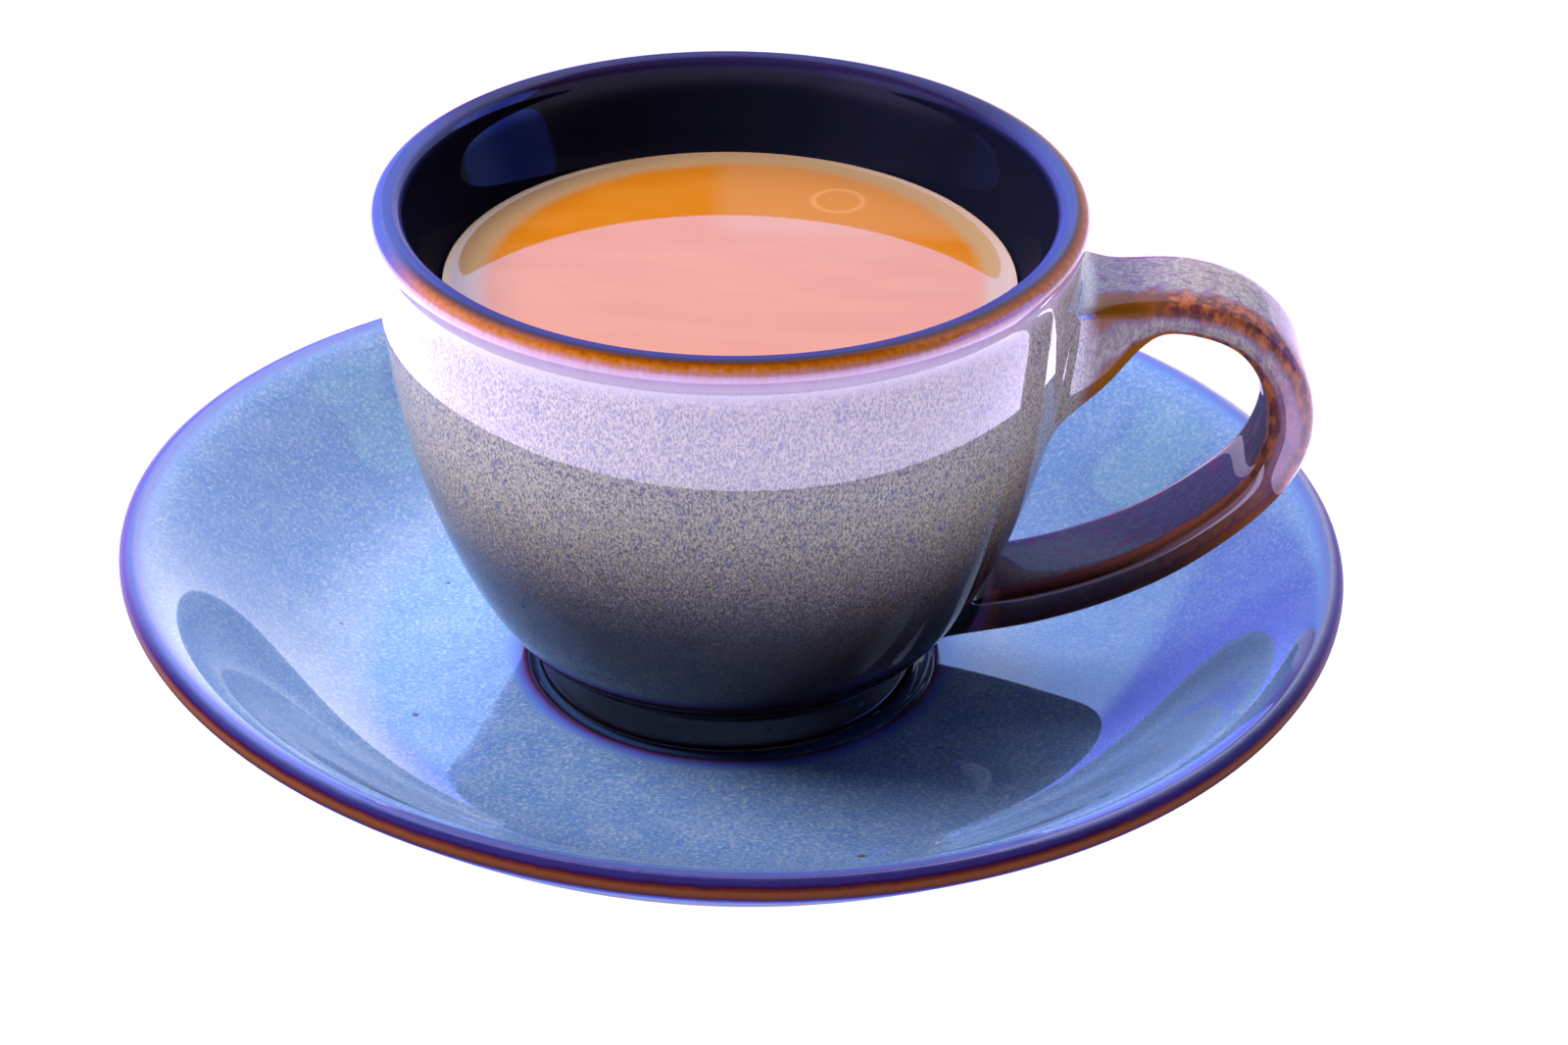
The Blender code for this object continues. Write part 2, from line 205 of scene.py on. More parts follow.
# Glaze colours, with painted shade and painted reflection in some tables, as noted at each. A
# first number is millimetres: from the saucer's axis, from a lip's crest over its edge, or
# above the table.
# At the well, the two innermost rows are painted shade: the step's shadowed inner side and the
# dark floor beside the cup's foot.
SAUCER_WELL_COLOURS_AND_SHADE = (
    (26.0, (0.05, 0.10, 0.30)),
    (26.9, (0.015, 0.008, 0.05)),
    (27.5, (0.07, 0.012, 0.04)),
    (28.1, (0.12, 0.08, 0.42)),
    (28.8, (0.11, 0.18, 0.68)),
    (30.6, (0.18, 0.33, 0.68)),
)
SAUCER_LIP_COLOURS = (
    (-1.5, (0.12, 0.22, 0.56)),
    (-0.8, (0.11, 0.13, 0.50)),
    (-0.2, (0.11, 0.11, 0.40)),
    (0.3, (0.06, 0.05, 0.23)),
    (0.8, (0.030, 0.025, 0.15)),
    (1.2, (0.035, 0.022, 0.17)),
    (1.6, (0.030, 0.006, 0.05)),
    (1.9, (0.12, 0.018, 0.012)),
    (2.3, (0.18, 0.045, 0.004)),
    (2.9, (0.12, 0.03, 0.004)),
    (3.3, (0.045, 0.015, 0.06)),
    (3.9, (0.06, 0.08, 0.42)),
    (5.5, (0.12, 0.20, 0.62)),
)
# Darker towards the foot: partly the glaze's own colour and partly painted shade where the
# saucer keeps light off the lower bowl.
CUP_BODY_COLOURS_AND_SHADE = (
    (9.0, (0.009, 0.006, 0.006)),
    (16.0, (0.024, 0.014, 0.010)),
    (22.0, (0.052, 0.023, 0.012)),
    (25.0, (0.068, 0.031, 0.016)),
    (29.0, (0.080, 0.046, 0.030)),
    (33.0, (0.165, 0.105, 0.078)),
    (37.0, (0.28, 0.205, 0.165)),
    (41.5, (0.43, 0.345, 0.275)),
    (46.0, (0.56, 0.475, 0.395)),
    (51.0, (0.60, 0.53, 0.51)),
    (72.0, (0.60, 0.51, 0.56)),
)
# The crystals also darken towards the foot, partly as painted shade.
CUP_CRYSTAL_COLOURS_AND_SHADE = (
    (12.0, (0.008, 0.005, 0.006)),
    (25.0, (0.020, 0.013, 0.014)),
    (33.0, (0.022, 0.020, 0.050)),
    (41.5, (0.045, 0.045, 0.120)),
    (50.0, (0.065, 0.065, 0.19)),
    (72.0, (0.08, 0.07, 0.25)),
)
# The blue rows over the crest, from -2.3 to 0.2, are partly the glaze's own colour and partly
# painted reflection of the bluish sky.
CUP_LIP_COLOURS_AND_SHEEN = (
    (-8.0, (0.0065, 0.0075, 0.021)),
    (-5.0, (0.0065, 0.0075, 0.022)),
    (-3.0, (0.0065, 0.0075, 0.030)),
    (-2.3, (0.020, 0.022, 0.12)),
    (-1.9, (0.045, 0.040, 0.22)),
    (-0.6, (0.038, 0.030, 0.18)),
    (0.2, (0.030, 0.022, 0.12)),
    (0.6, (0.040, 0.014, 0.030)),
    (0.9, (0.10, 0.025, 0.008)),
    (1.3, (0.26, 0.060, 0.003)),
    (1.7, (0.42, 0.105, 0.003)),
    (2.1, (0.55, 0.17, 0.03)),
    (2.5, (0.54, 0.20, 0.19)),
    (3.1, (0.55, 0.28, 0.46)),
    (4.0, (0.56, 0.38, 0.68)),
    (5.2, (0.64, 0.51, 0.76)),
    (6.8, (0.60, 0.50, 0.66)),
)
# Iron spots and pinholes in the saucer's glaze: middle and width in millimetres, and colour.
SAUCER_SPECKS = (
    ((-40.8, -17.3, 4.8), 0.55, (0.05, 0.02, 0.05)),
    ((-52.3, 2.6, 6.2), 0.45, (0.05, 0.05, 0.20)),
    ((-39.0, 16.2, 4.8), 0.4, (0.05, 0.05, 0.20)),
    ((17.1, -50.4, 6.4), 0.8, (0.16, 0.10, 0.05)),
    ((63.6, -16.4, 13.6), 0.6, (0.30, 0.24, 0.18)),
)
GLAZE_WAVE = 0.02 * MM

CAMERA_LENS_MM = 109.675
CAMERA_SENSOR_MM = 36.0
CAMERA_PLACE = (0.0, -541.15 * MM, 339.07 * MM)
CAMERA_AIM = (6.67 * MM, 0.0, 24.46 * MM)
CAMERA_ROLL = math.radians(0.740)
CAMERA_TURN = math.radians(1.0)

TABLE_SIZE = 6.0
TABLE_GREY = (0.45, 0.45, 0.45, 1.0)
TABLE_SHINE = 1.25
TABLE_MIRRORED = (0.66, 0.58, 1.0, 1.0)
TABLE_SEEN_WHITE = 0.85

# Each lamp: name, place, width and power.
LAMPS = (
    ("left_softbox", (-0.72, -0.03, 0.86), 0.6, 13.0),
    ("back_softbox", (0.0, 0.77, 0.86), 0.6, 6.0),
)
WINDOW_AIM = (-0.17, 0.97, 0.17)
BLACK = (0.0, 0.0, 0.0)
# The mirrored sky at the back, low and high: its cool left and its warm middle, then its right.
SKY_COOL = ((0.6, 0.8, 4.0), (1.3, 2.15, 4.9))
SKY_WARM = ((2.9, 2.9, 3.4), (2.6, 2.9, 3.8))
SKY_RIGHT = (1.3, 1.7, 3.0)
SKY_HAZE = (1.3, 1.1, 2.0)
# Round lights in the mirrored sky: aim and half angle in degrees.
SKY_DISCS = (((-0.655, 0.418, 0.629), 6.8), ((0.627, 0.299, 0.719), 6.8))
DISC_GLOW = (0.5, 1.2, 0.6)
DISC_RIM_SHADE = 0.16
# Soft patches of light in the mirrored sky: aim, inner and outer half angle, and light added.
SKY_PATCHES = (
    ((0.965, 0.04, 0.26), 18.0, 21.0, (0.6, 1.4, 11.0)),
    ((-0.74, -0.60, 0.30), 8.0, 24.0, (0.9, 0.6, 1.6)),
)


def pick(piece):
    bpy.ops.object.select_all(action="DESELECT")
    piece.select_set(True)
    bpy.context.view_layer.objects.active = piece


def bezier(start, pull_start, pull_end, end, shares):
    """Points of one cubic curve in the radius and height plane.

    The shares are places along the curve, or the number of even steps to take."""
    if isinstance(shares, int):
        shares = [index / shares for index in range(shares + 1)]
    points = []
    for t in shares:
        u = 1.0 - t
        weights = (u * u * u, 3 * u * u * t, 3 * u * t * t, t * t * t)
        corners = (start, pull_start, pull_end, end)
        radius = sum(w * corner[0] for w, corner in zip(weights, corners))
        height = sum(w * corner[1] for w, corner in zip(weights, corners))
        points.append((radius, height))
    return points


def arc(centre, radius, start_angle, end_angle, steps):
    """Points round a part of a circle in the same plane."""
    points = []
    for index in range(steps + 1):
        angle = start_angle + (end_angle - start_angle) * index / steps
        points.append(pulled(centre, radius, angle))
    return points


def joined(*runs):
    """One outline from several, without the points that two of them share."""
    outline = []
    for run in runs:
        for point in run:
            if not outline or math.dist(point, outline[-1]) > SAME_POINT:
                outline.append(point)
    return outline


def turned(name, outline, steps):
    """Draws an outline corner by corner and spins it about +Z, as on a wheel."""
    bpy.ops.object.select_all(action="DESELECT")
    bpy.ops.mesh.primitive_plane_add(size=MM)
    piece = bpy.context.object
    piece.name = name
    bpy.ops.object.mode_set(mode="EDIT")
    bpy.ops.mesh.select_all(action="SELECT")
    bpy.ops.mesh.merge(type="CENTER")
    bpy.ops.transform.translate(value=(outline[0][0], 0.0, outline[0][1]))
    for start, end in zip(outline, outline[1:]):
        step = (end[0] - start[0], 0.0, end[1] - start[1])
        bpy.ops.mesh.extrude_region_move(TRANSFORM_OT_translate={"value": step})
    bpy.ops.mesh.select_all(action="SELECT")
    bpy.ops.mesh.spin(steps=steps, angle=math.tau, center=(0.0, 0.0, 0.0), axis=(0.0, 0.0, 1.0))
    bpy.ops.mesh.select_all(action="SELECT")
    bpy.ops.mesh.remove_doubles(threshold=SAME_POINT)
    bpy.ops.mesh.normals_make_consistent(inside=False)
    bpy.ops.mesh.select_all(action="DESELECT")
    bpy.ops.object.mode_set(mode="OBJECT")
    return piece


def smoothed(piece, levels):
    """Rounds a piece by subdividing it for good, because its colours follow its corners."""
    pick(piece)
    rounding = piece.modifiers.new("rounding", "SUBSURF")
    rounding.levels = levels
    rounding.render_levels = levels
    bpy.ops.object.modifier_apply(modifier=rounding.name)
    bpy.ops.object.shade_smooth()
    return piece


def pulled(point, distance, tilt):
    """A point moved outward and up along a slope, or inward and down for a minus distance."""
    return (point[0] + distance * math.cos(tilt), point[1] + distance * math.sin(tilt))


def beside(point, offset):
    """A point moved by an offset in millimetres."""
    return (point[0] + offset[0] * MM, point[1] + offset[1] * MM)


def curved(spans):
    """The points of a row of curves, each given by its ends and the offsets of its handles."""
    runs = []
    for start, leaving, arriving, end, rows in spans:
        runs.append(bezier(start, beside(start, leaving), beside(end, arriving), end, rows))
    return joined(*runs)


def saucer_top():
    """From the well's middle, over its step and the flat, up the flank to the lip's crest."""
    step_top = WELL_FLOOR + WELL_STEP
    lip_centre = (SAUCER_RADIUS - SAUCER_LIP, SAUCER_HEIGHT - SAUCER_LIP)
    flank_end = pulled(lip_centre, SAUCER_LIP, FLANK_END_TILT + math.pi / 2)
    well = [(radius * MM, WELL_FLOOR) for radius in WELL_ROWS_MM]
    step = bezier(
        (WELL_RADIUS - WELL_EDGE, WELL_FLOOR),
        (WELL_RADIUS, WELL_FLOOR),
        (WELL_RADIUS, step_top),
        (WELL_RADIUS + WELL_EDGE, step_top),
        WELL_STEP_ROWS,
    )
    flat = bezier(
        (WELL_RADIUS + WELL_EDGE, step_top),
        (WELL_RADIUS + WELL_EDGE + FLAT_PULL, step_top),
        (FLAT_RADIUS - FLAT_PULL, FLAT_HEIGHT),
        (FLAT_RADIUS, FLAT_HEIGHT),
        FLAT_ROWS,
    )
    rise = bezier(
        (FLAT_RADIUS, FLAT_HEIGHT),
        (FLAT_RADIUS + FLANK_PULL, FLAT_HEIGHT),
        pulled(FLANK_TURN, -FLANK_TURN_PULL_IN, FLANK_TURN_TILT),
        FLANK_TURN,
        FLANK_RISE_ROWS,
    )
    flare = bezier(
        FLANK_TURN,
        pulled(FLANK_TURN, FLANK_TURN_PULL_OUT, FLANK_TURN_TILT),
        pulled(flank_end, -FLANK_END_PULL, FLANK_END_TILT),
        flank_end,
        FLANK_FLARE_ROWS,
    )
    crest = (lip_centre[0], SAUCER_HEIGHT)
    return joined(well, step, flat, rise, flare, [crest])


def saucer_outline():
    """The whole saucer: its top, round the lip, back underneath, and over the foot ring."""
    top = saucer_top()
    lip_centre = (SAUCER_RADIUS - SAUCER_LIP, SAUCER_HEIGHT - SAUCER_LIP)
    lip_end = UNDERSIDE_TILT - math.pi / 2
    lip = arc(lip_centre, SAUCER_LIP, math.pi / 2, lip_end, SAUCER_LIP_ROWS)
    ring_shoulder = (FOOT_RING_OUTER + FOOT_RING_FILLET, FOOT_RING_DEPTH + FOOT_RING_CHAMFER)
    underside = bezier(
        lip[-1],
        pulled(lip[-1], -UNDERSIDE_PULL_OUT, UNDERSIDE_TILT),
        (ring_shoulder[0] + UNDERSIDE_PULL_IN, ring_shoulder[1] + UNDERSIDE_RISE),
        ring_shoulder,
        UNDERSIDE_ROWS,
    )
    turn = FOOT_RING_CHAMFER / 3
    ring = [
        (FOOT_RING_OUTER + turn, FOOT_RING_CHAMFER + 2 * turn),
        (FOOT_RING_OUTER, FOOT_RING_CHAMFER),
        (FOOT_RING_OUTER - turn, turn),
        (FOOT_RING_OUTER - FOOT_RING_CHAMFER, 0.0),
        (FOOT_RING_INNER + FOOT_RING_CHAMFER, 0.0),
        (FOOT_RING_INNER + turn, turn),
        (FOOT_RING_INNER, FOOT_RING_CHAMFER),
        (FOOT_RING_INNER - FOOT_RING_CHAMFER, FOOT_RING_DEPTH),
        (FOOT_RING_INNER - 3 * FOOT_RING_CHAMFER, FOOT_RING_DEPTH),
        (UNDERSIDE_MIDDLE, FOOT_RING_DEPTH),
        (0.0, FOOT_RING_DEPTH),
    ]
    return joined(top, lip, underside, ring)


def note_run(piece, outline, crest):
    """Stores how far each corner lies from the lip's crest, in millimetres along the wall.

    The outline's own direction counts as plus beyond the crest and minus before it."""
    lengths = [0.0]
    for start, end in zip(outline, outline[1:]):
        lengths.append(lengths[-1] + math.dist(start, end))
    middle = lengths[outline.index(crest)]
    run = piece.data.attributes.new("run", "FLOAT", "POINT")
    for corner in piece.data.vertices:
        place = (math.hypot(corner.co.x, corner.co.y), corner.co.z)
        nearest = min(range(len(outline)), key=lambda index: math.dist(place, outline[index]))
        run.data[corner.index].value = (lengths[nearest] - middle) / MM


def make_saucer():
    """Turns the saucer, then warps its rim a little, as it came out of the kiln."""
    outline = saucer_outline()
    saucer = turned("saucer_body", outline, SAUCER_STEPS)
    note_run(saucer, outline, saucer_top()[-1])
    smoothed(saucer, SAUCER_LEVELS)
    for corner in saucer.data.vertices:
        radius = math.hypot(corner.co.x, corner.co.y)
        share = (radius - FOOT_RING_OUTER) / (SAUCER_RADIUS - FOOT_RING_OUTER)
        if share > 0.0:
            turn = math.atan2(corner.co.y, corner.co.x)
            lift = RIM_TILT * math.cos(turn - RIM_TILT_TURN)
            lift += RIM_SADDLE * math.cos(2 * (turn - RIM_SADDLE_TURN))
            corner.co.z += lift * share**RIM_WARP_GROWTH
    return saucer


def cup_inside():
    """The cup's inner wall, from the mouth to the middle of the bowl's floor."""
    return curved(CUP_INSIDE_CURVES)


def cup_outline():
    """From the middle of the foot, up the outside, over the lip and down into the bowl."""
    foot = [beside(point, offset) for point, offset in CUP_FOOT_CORNERS]
    return joined(foot, curved(CUP_OUTSIDE_CURVES), cup_inside())


def path_point(position):
    """A point on the strap's middle line, a smooth curve through the path's points."""
    points = HANDLE_PATH_MM
    last = len(points) - 1
    index = min(int(position * last), last - 1)
    t = position * last - index
    before = points[max(index - 1, 0)]
    start = points[index]
    end = points[index + 1]
    after = points[min(index + 2, last)]
    place = []
    for axis in (0, 1):
        slope_start = (end[axis] - before[axis]) / 2
        slope_end = (after[axis] - start[axis]) / 2
        cubic = (
            (2 * t**3 - 3 * t**2 + 1) * start[axis]
            + (t**3 - 2 * t**2 + t) * slope_start
            + (3 * t**2 - 2 * t**3) * end[axis]
            + (t**3 - t**2) * slope_end
        )
        place.append(cubic * MM)
    return Vector((place[0], 0.0, place[1]))


def cup_wall_radius(height):
    """The cup's outer radius at a height, read from its outline."""
    outside = [point for point in cup_outline() if point[0] >= CREASE[0]]
    for low, high in zip(outside, outside[1:]):
        if low[1] <= height <= high[1]:
            share = (height - low[1]) / max(high[1] - low[1], 0.001 * MM)
            return low[0] + (high[0] - low[0]) * share
    return SHOULDER[0]


def fillet(amount, length, distance):
    """An amount that fades out over a length, with a sharp start."""
    share = min(max(1.0 - distance / length, 0.0), 1.0)
    return amount * share * share


def swell(amount, length, distance):
    """An amount that fades out over a length, smoothly at both ends."""
    share = min(max(1.0 - distance / length, 0.0), 1.0)
    return amount * share * share * (3.0 - 2.0 * share)


def strap_ring(position):
    """One ring of corners round the strap, with the web that deepens its upper root."""
    centre = path_point(position)
    along = (path_point(position + PATH_STEP) - path_point(position - PATH_STEP)).normalized()
    outward = Vector((-along.z, 0.0, along.x))
    distance = max(centre.x - cup_wall_radius(centre.z), 0.0)
    half_width = STRAP_HALF_WIDTH + fillet(SIDE_FILLET, SIDE_FILLET_LENGTH, distance)
    inside = STRAP_INSIDE + swell(BEND_THICKENING, BEND_LENGTH, abs(position - BEND_PLACE))
    outside = STRAP_OUTSIDE
    if position < STRAP_MIDDLE:
        inside += swell(WEB_DEPTH, WEB_LENGTH, distance)
    else:
        inside += swell(LOWER_THICKENING, LOWER_THICKENING_LENGTH, distance)
        outside += fillet(LOWER_FILLET, LOWER_FILLET_LENGTH, distance)
    ring = []
    for across, deep in STRAP_SECTION:
        depth = outside if deep > 0 else inside
        ring.append(centre + Vector((0.0, across * half_width, 0.0)) + outward * deep * depth)
    return ring


def mark_ring(mesh, corners, position):
    """Notes which corners are on the strap's edges, for the glaze that breaks there."""
    layers = mesh.verts.layers.float
    for side, corner in corners:
        corner[layers["strap"]] = 1.0
        corner[layers["ridge"]] = STRAP_RIDGES.get(side, 0.0)
        corner[layers["hollow"]] = 1.0 if side in STRAP_HOLLOW_SIDES else 0.0
        corner[layers["outer"]] = 1.0 if side in STRAP_OUTER_SIDES else 0.0
        corner[layers["run"]] = STRAP_RUN
        corner[layers["reach"]] = position


def make_strap():
    """Extrudes a rounded section along the handle's path, ring by ring."""
    bpy.ops.object.select_all(action="DESELECT")
    bpy.ops.mesh.primitive_circle_add(vertices=len(STRAP_SECTION), radius=STRAP_HALF_WIDTH)
    strap = bpy.context.object
    bpy.ops.object.mode_set(mode="EDIT")
    bpy.ops.mesh.select_all(action="SELECT")
    ring = strap_ring(STRAP_START)
    mesh = bmesh.from_edit_mesh(strap.data)
    for name in ("strap", "ridge", "hollow", "outer", "reach", "run"):
        mesh.verts.layers.float.new(name)
    for corner, place in zip(mesh.verts, ring):
        corner.co = place
    mark_ring(mesh, list(enumerate(mesh.verts)), STRAP_START)
    bmesh.update_edit_mesh(strap.data)
    for station in range(1, STRAP_STATIONS + 1):
        position = STRAP_START + (STRAP_END - STRAP_START) * station / STRAP_STATIONS
        bpy.ops.mesh.extrude_edges_move()
        following = strap_ring(position)
        mesh = bmesh.from_edit_mesh(strap.data)
        moved = []
        for corner in mesh.verts:
            if corner.select:
                side = min(range(len(ring)), key=lambda k: (corner.co - ring[k]).length)
                moved.append((side, corner))
        for side, corner in moved:
            corner.co = following[side]
        mark_ring(mesh, moved, position)
        bmesh.update_edit_mesh(strap.data)
        ring = following
    bpy.ops.mesh.select_all(action="SELECT")
    bpy.ops.mesh.normals_make_consistent(inside=False)
    bpy.ops.object.mode_set(mode="OBJECT")
    return strap


def open_root(cup, heights):
    """Takes out the patch of outer wall where the strap runs into the cup."""
    pick(cup)
    bpy.ops.object.mode_set(mode="EDIT")
    bpy.ops.mesh.select_mode(type="FACE")
    bpy.ops.mesh.select_all(action="DESELECT")
    mesh = bmesh.from_edit_mesh(cup.data)
    low, high = heights
    for face in mesh.faces:
        middle = face.calc_center_median()
        turn = abs(math.atan2(middle.y, middle.x))
        outer = face.normal.x > 0.0 and middle.x > CREASE[0] and turn < ROOT_HALF_ANGLE
        if outer and low - ROOT_SLACK < middle.z < high + ROOT_SLACK:
            face.select_set(True)
    bmesh.update_edit_mesh(cup.data)
    bpy.ops.mesh.delete(type="FACE")
    bpy.ops.object.mode_set(mode="OBJECT")


def bridge_root(cup, lowest):
    """Joins the strap's open end to the hole in the wall beside it."""
    bpy.ops.object.mode_set(mode="EDIT")
    bpy.ops.mesh.select_mode(type="EDGE")
    bpy.ops.mesh.select_all(action="DESELECT")
    mesh = bmesh.from_edit_mesh(cup.data)
    for edge in mesh.edges:
        middle = (edge.verts[0].co + edge.verts[1].co) / 2
        if edge.is_boundary and middle.z > lowest:
            edge.select_set(True)
    bmesh.update_edit_mesh(cup.data)
    bpy.ops.mesh.bridge_edge_loops()
    bpy.ops.object.mode_set(mode="OBJECT")


def make_cup():
    """Turns the bowl, opens its wall at both roots, and joins the strap to it there."""
    outline = cup_outline()
    cup = turned("cup_body", outline, CUP_STEPS)
    note_run(cup, outline, CREST)
    open_root(cup, UPPER_ROOT)
    open_root(cup, LOWER_ROOT)
    strap = make_strap()
    bpy.ops.object.select_all(action="DESELECT")
    strap.select_set(True)
    cup.select_set(True)
    bpy.context.view_layer.objects.active = cup
    bpy.ops.object.join()
    bridge_root(cup, (UPPER_ROOT[0] + LOWER_ROOT[1]) / 2)
    bridge_root(cup, 0.0)
    bpy.ops.object.mode_set(mode="EDIT")
    bpy.ops.mesh.select_mode(type="VERT")
    bpy.ops.mesh.select_all(action="SELECT")
    bpy.ops.mesh.normals_make_consistent(inside=False)
    bpy.ops.transform.translate(value=(CUP_SHIFT, 0.0, 0.0))
    bpy.ops.object.mode_set(mode="OBJECT")
    return smoothed(cup, CUP_LEVELS)


def tea_outline():
    """From the middle of the surface to its raised edge, then down the bowl and back."""
    wall = [(radius - GAP, height) for radius, height in cup_inside()]
    edge_height = TEA_LEVEL + MENISCUS_RISE
    for high, low in zip(wall, wall[1:]):
        if low[1] <= edge_height <= high[1]:
            share = (edge_height - low[1]) / (high[1] - low[1])
            edge = (low[0] + (high[0] - low[0]) * share, edge_height)
    below = [point for point in wall[:-1] if point[1] < edge_height - MENISCUS_CLEARANCE]
    start = edge[0] - MENISCUS_WIDTH
    flat = [(start * index / TEA_ROWS, TEA_LEVEL) for index in range(TEA_ROWS)]
    surface = bezier(
        (start, TEA_LEVEL),
        (edge[0] - MENISCUS_WIDTH * MENISCUS_PULLS[0], TEA_LEVEL),
        (edge[0] - MENISCUS_WIDTH * MENISCUS_PULLS[1], TEA_LEVEL + MENISCUS_BEND),
        edge,
        MENISCUS_ROWS,
    )
    floor = BOWL_MIDDLE[1] + GAP
    bottom = [(radius, max(height, floor)) for radius, height in below]
    return joined(flat, surface, bottom, [(0.0, floor)])


def make_tea():
    tea = turned("tea_drink", tea_outline(), TEA_STEPS)
    pick(tea)
    bpy.ops.object.mode_set(mode="EDIT")
    bpy.ops.mesh.select_all(action="SELECT")
    bpy.ops.transform.translate(value=(CUP_SHIFT, 0.0, 0.0))
    bpy.ops.object.mode_set(mode="OBJECT")
    return smoothed(tea, TEA_LEVELS)


class Wiring:
    """Adds and joins the nodes of one material or node group."""

    def __init__(self, tree):
        self.tree = tree

    def put(self, kind, inputs=None, **settings):
        made = self.tree.nodes.new(kind)
        for name, value in settings.items():
            setattr(made, name, value)
        for name, value in (inputs or {}).items():
            self.feed(made.inputs[name], value)
        return made

    def feed(self, socket, value):
        if isinstance(value, bpy.types.NodeSocket):
            self.tree.links.new(value, socket)
        else:
            socket.default_value = value

    def math(self, operation, first, second=0.0, third=0.0, clamp=False):
        made = self.put("ShaderNodeMath", operation=operation, use_clamp=clamp)
        for socket, value in zip(made.inputs, (first, second, third)):
            self.feed(socket, value)
        return made.outputs[0]

    def times(self, first, second):
        return self.math("MULTIPLY", first, second)

    def between(self, share, low, high):
        """A number that goes from low to high as the share goes from 0 to 1."""
        return self.math("MULTIPLY_ADD", share, high - low, low)

    def step(self, value, low, high):
        """0 below low, 1 above high, and smooth between them."""
        made = self.put("ShaderNodeMapRange", interpolation_type="SMOOTHSTEP")
        self.feed(made.inputs["Value"], value)
        made.inputs["From Min"].default_value = low
        made.inputs["From Max"].default_value = high
        return made.outputs["Result"]

    def mix(self, share, low, high, blend="MIX"):
        made = self.put("ShaderNodeMix", data_type="RGBA", blend_type=blend)
        self.feed(made.inputs[0], share)
        self.feed(made.inputs[6], (*low, 1.0) if isinstance(low, tuple) else low)
        self.feed(made.inputs[7], (*high, 1.0) if isinstance(high, tuple) else high)
        return made.outputs[2]

    def tint(self, body, mask, colour, amount=None):
        """The body with another colour where the mask is 1, or up to an amount of it."""
        return self.mix(mask if amount is None else self.times(mask, amount), body, colour)

    def ramp(self, value, stops):
        made = self.put("ShaderNodeValToRGB")
        self.feed(made.inputs[0], value)
        ramp = made.color_ramp
        while len(ramp.elements) < len(stops):
            ramp.elements.new(1.0)
        for element, (place, colour) in zip(ramp.elements, stops):
            element.position = place
            element.color = (*colour, 1.0)
        return made.outputs[0]

    def noise(self, vector, scale, detail=2.0, roughness=0.5):
        made = self.put("ShaderNodeTexNoise")
        self.feed(made.inputs["Vector"], vector)
        self.feed(made.inputs["Scale"], scale)
        made.inputs["Detail"].default_value = detail
        made.inputs["Roughness"].default_value = roughness
        return made.outputs["Fac"]

    def axes(self, vector):
        """The X, Y and Z of a place or a direction."""
        return self.put("ShaderNodeSeparateXYZ", {"Vector": vector}).outputs

    def placed(self, vector, location=(0.0, 0.0, 0.0), scale=(1.0, 1.0, 1.0)):
        made = self.put("ShaderNodeMapping")
        self.feed(made.inputs["Vector"], vector)
        made.inputs["Location"].default_value = location
        made.inputs["Scale"].default_value = scale
        return made.outputs[0]


def new_group(name, inputs, outputs):
    """An empty node group with its sockets, and the nodes that stand for them inside it."""
    group = bpy.data.node_groups.new(name, "ShaderNodeTree")
    kinds = {"float": "NodeSocketFloat", "vector": "NodeSocketVector"}
    for label, kind in inputs:
        group.interface.new_socket(label, in_out="INPUT", socket_type=kinds[kind])
    for label, kind in outputs:
        group.interface.new_socket(label, in_out="OUTPUT", socket_type=kinds[kind])
    wiring = Wiring(group)
    return group, wiring, wiring.put("NodeGroupInput"), wiring.put("NodeGroupOutput")


def speckle_group():
    """Fine crystals, larger mottling and slow drifts in the glaze, each from 0 to 1."""
    group, wiring, given, result = new_group(
        "glaze_speckle",
        (("Place", "vector"), ("Grain", "float"), ("Mottle", "float")),
        (("Crystals", "float"), ("Flecks", "float"), ("Mottling", "float")),
    )
    place = given.outputs["Place"]
    fine = wiring.noise(place, given.outputs["Grain"], detail=3.0, roughness=0.6)
    moved = wiring.placed(place, location=(0.37, 0.11, 0.53))
    flecks = wiring.noise(moved, given.outputs["Grain"])
    mottle = wiring.noise(moved, given.outputs["Mottle"], detail=3.0, roughness=0.55)
    wiring.feed(result.inputs["Crystals"], wiring.step(fine, 0.36, 0.64))
    wiring.feed(result.inputs["Flecks"], wiring.step(flecks, 0.52, 0.66))
    wiring.feed(result.inputs["Mottling"], wiring.step(mottle, 0.3, 0.7))
    return group


def axis_group():
    """Distance from the turning axis and height above the table, both in millimetres."""
    group, wiring, given, result = new_group(
        "around_axis",
        (("Place", "vector"), ("Shift", "float")),
        (("Radius", "float"), ("Height", "float")),
    )
    x, y, z = wiring.axes(given.outputs["Place"])
    east = wiring.math("SUBTRACT", x, given.outputs["Shift"])
    squares = wiring.times(east, east)
    squares = wiring.math("MULTIPLY_ADD", y, y, squares)
    radius = wiring.math("SQRT", squares)
    wiring.feed(result.inputs["Radius"], wiring.math("DIVIDE", radius, MM))
    wiring.feed(result.inputs["Height"], wiring.math("DIVIDE", z, MM))
    return group


def glaze_material(name):
    """A coloured body under a thick clear gloss."""
    material = bpy.data.materials.new(name)
    material.use_nodes = True
    shader = material.node_tree.nodes["Principled BSDF"]
    shader.inputs["Roughness"].default_value = 0.45
    shader.inputs["Specular IOR Level"].default_value = 0.0
    shader.inputs["Coat Roughness"].default_value = 0.025
    shader.inputs["Coat IOR"].default_value = 1.52
    return material, Wiring(material.node_tree), shader


